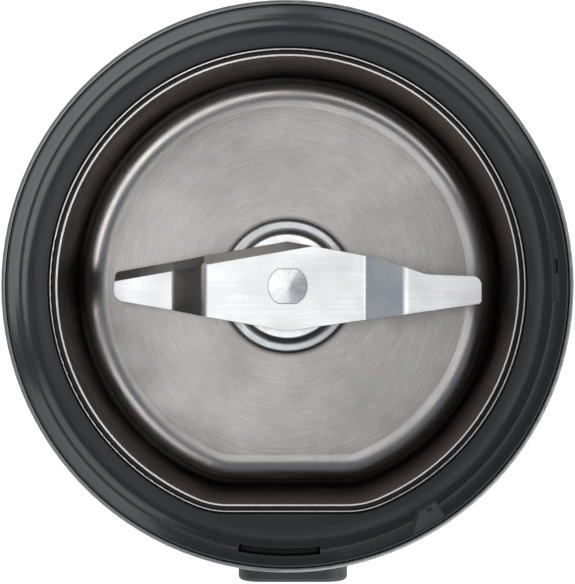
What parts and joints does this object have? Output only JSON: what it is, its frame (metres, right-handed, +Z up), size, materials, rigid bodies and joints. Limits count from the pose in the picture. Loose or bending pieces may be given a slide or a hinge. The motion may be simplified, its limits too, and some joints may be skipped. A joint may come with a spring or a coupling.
{
  "type": "electric spice grinder",
  "caption": "Cylindrical electric spice grinder without its lid: brushed sleeve, black lid well, D-shaped lift-out steel bowl, cranked two-wing blade and a start button.",
  "frame": {"origin": "centre of the foot ring, in the plane of the surface that carries it", "axes": "+Z up along the motor shaft; -Y towards the start button; +X to the right of somebody facing the button"},
  "size_m": [0.09, 0.0956, 0.125],
  "materials": {
    "black_matte_plastic": "fine moulded grain",
    "black_gloss_plastic": "polished moulding",
    "grey_inner_plastic": "plain moulding",
    "foot_rubber": "soft matt rubber",
    "zinc_screw": "bright zinc plate",
    "brushed_sleeve_steel": "brushed round the body",
    "bowl_steel": "spun and polished inside",
    "polished_steel": "bright turned",
    "blade_steel": "lengthwise brushed with ground edges",
    "ground_steel": "ground",
    "motor_bracket_steel": "zinc-coated pressing",
    "lamination_steel": "stacked laminations",
    "cast_aluminium": "turned casting",
    "sintered_bronze": "sintered bronze",
    "brass_sheet": "pressed brass",
    "copper_winding": "enamelled winding wire",
    "copper_bar": "turned copper",
    "carbon": "pressed carbon",
    "spring_steel": "drawn wire",
    "capacitor_case": "potted plastic case",
    "switch_case": "moulded thermoset",
    "switch_pin": "moulded pin"
  },
  "bodies": {
    "housing": {"base_cover": "black_matte_plastic", "base_foot_ring": "foot_rubber", "base_screws": "zinc_screw", "cord_inlet_bush": "foot_rubber", "housing_shell": "grey_inner_plastic", "motor_deck": "grey_inner_plastic", "body_sleeve": "brushed_sleeve_steel", "top_collar": "black_gloss_plastic", "motor_bracket_upper": "motor_bracket_steel", "motor_bracket_lower": "grey_inner_plastic", "upper_bearing": "sintered_bronze", "lower_bearing": "sintered_bronze", "stator_core": "lamination_steel", "field_coils": "copper_winding", "motor_screws": "zinc_screw", "motor_isolators": "foot_rubber", "brush_holders": "brass_sheet", "carbon_brushes": "carbon", "brush_springs": "spring_steel", "suppression_capacitor": "capacitor_case", "button_guide": "grey_inner_plastic", "button_spring": "spring_steel", "start_switch": "switch_case", "interlock_springs": "spring_steel", "interlock_switch": "switch_case"},
    "rotor": {"motor_shaft": "ground_steel", "armature_core": "lamination_steel", "armature_windings": "copper_winding", "commutator": "copper_bar", "cooling_fan": "black_matte_plastic", "drive_coupling": "black_matte_plastic"},
    "bowl": {"grinding_bowl": "bowl_steel", "bowl_base": "black_matte_plastic", "bearing_housing": "cast_aluminium", "bearing_nut": "zinc_screw", "hub_cap": "polished_steel", "spindle_bush": "sintered_bronze", "spindle_seal": "foot_rubber"},
    "blade_assembly": {"blade": "blade_steel", "blade_spindle": "ground_steel", "blade_spacer": "polished_steel", "driven_coupling": "black_matte_plastic", "coupling_nut": "zinc_screw"},
    "button": {"start_button": "black_gloss_plastic"},
    "start_pin": {"start_switch_plunger": "switch_pin"},
    "interlock": {"interlock_plunger": "black_matte_plastic"},
    "interlock_pin": {"interlock_switch_plunger": "switch_pin"}
  },
  "joints": [
    {"name": "motor_spin", "type": "hinge", "parent": "housing", "child": "rotor", "pos_m": [0, 0, 0.035], "axis": [0, 0, 1], "continuous": true},
    {"name": "bowl_lift", "type": "slide", "parent": "housing", "child": "bowl", "axis": [0, 0, 1], "range_m": [0, 0.07]},
    {"name": "blade_spin", "type": "hinge", "parent": "bowl", "child": "blade_assembly", "pos_m": [0, 0, 0.088], "axis": [0, 0, 1], "continuous": true},
    {"name": "button_press", "type": "slide", "parent": "housing", "child": "button", "axis": [0, 1, 0], "range_m": [0, 0.0015], "stiffness_N_per_m": 400, "springref_m": -0.002, "deforming": ["button_spring"]},
    {"name": "start_pin_press", "type": "slide", "parent": "housing", "child": "start_pin", "axis": [0, 1, 0], "range_m": [0, 0.0015]},
    {"name": "interlock_press", "type": "slide", "parent": "housing", "child": "interlock", "axis": [0, 0, -1], "range_m": [0, 0.0015], "stiffness_N_per_m": 300, "springref_m": -0.002, "deforming": ["interlock_springs"]},
    {"name": "interlock_pin_press", "type": "slide", "parent": "housing", "child": "interlock_pin", "axis": [0, 0, -1], "range_m": [0, 0.0015]}
  ],
  "couplings": [
    {"joint": "blade_spin", "follows": "motor_spin", "ratio": 1},
    {"joint": "start_pin_press", "follows": "button_press", "ratio": 1},
    {"joint": "interlock_pin_press", "follows": "interlock_press", "ratio": 1}
  ]
}
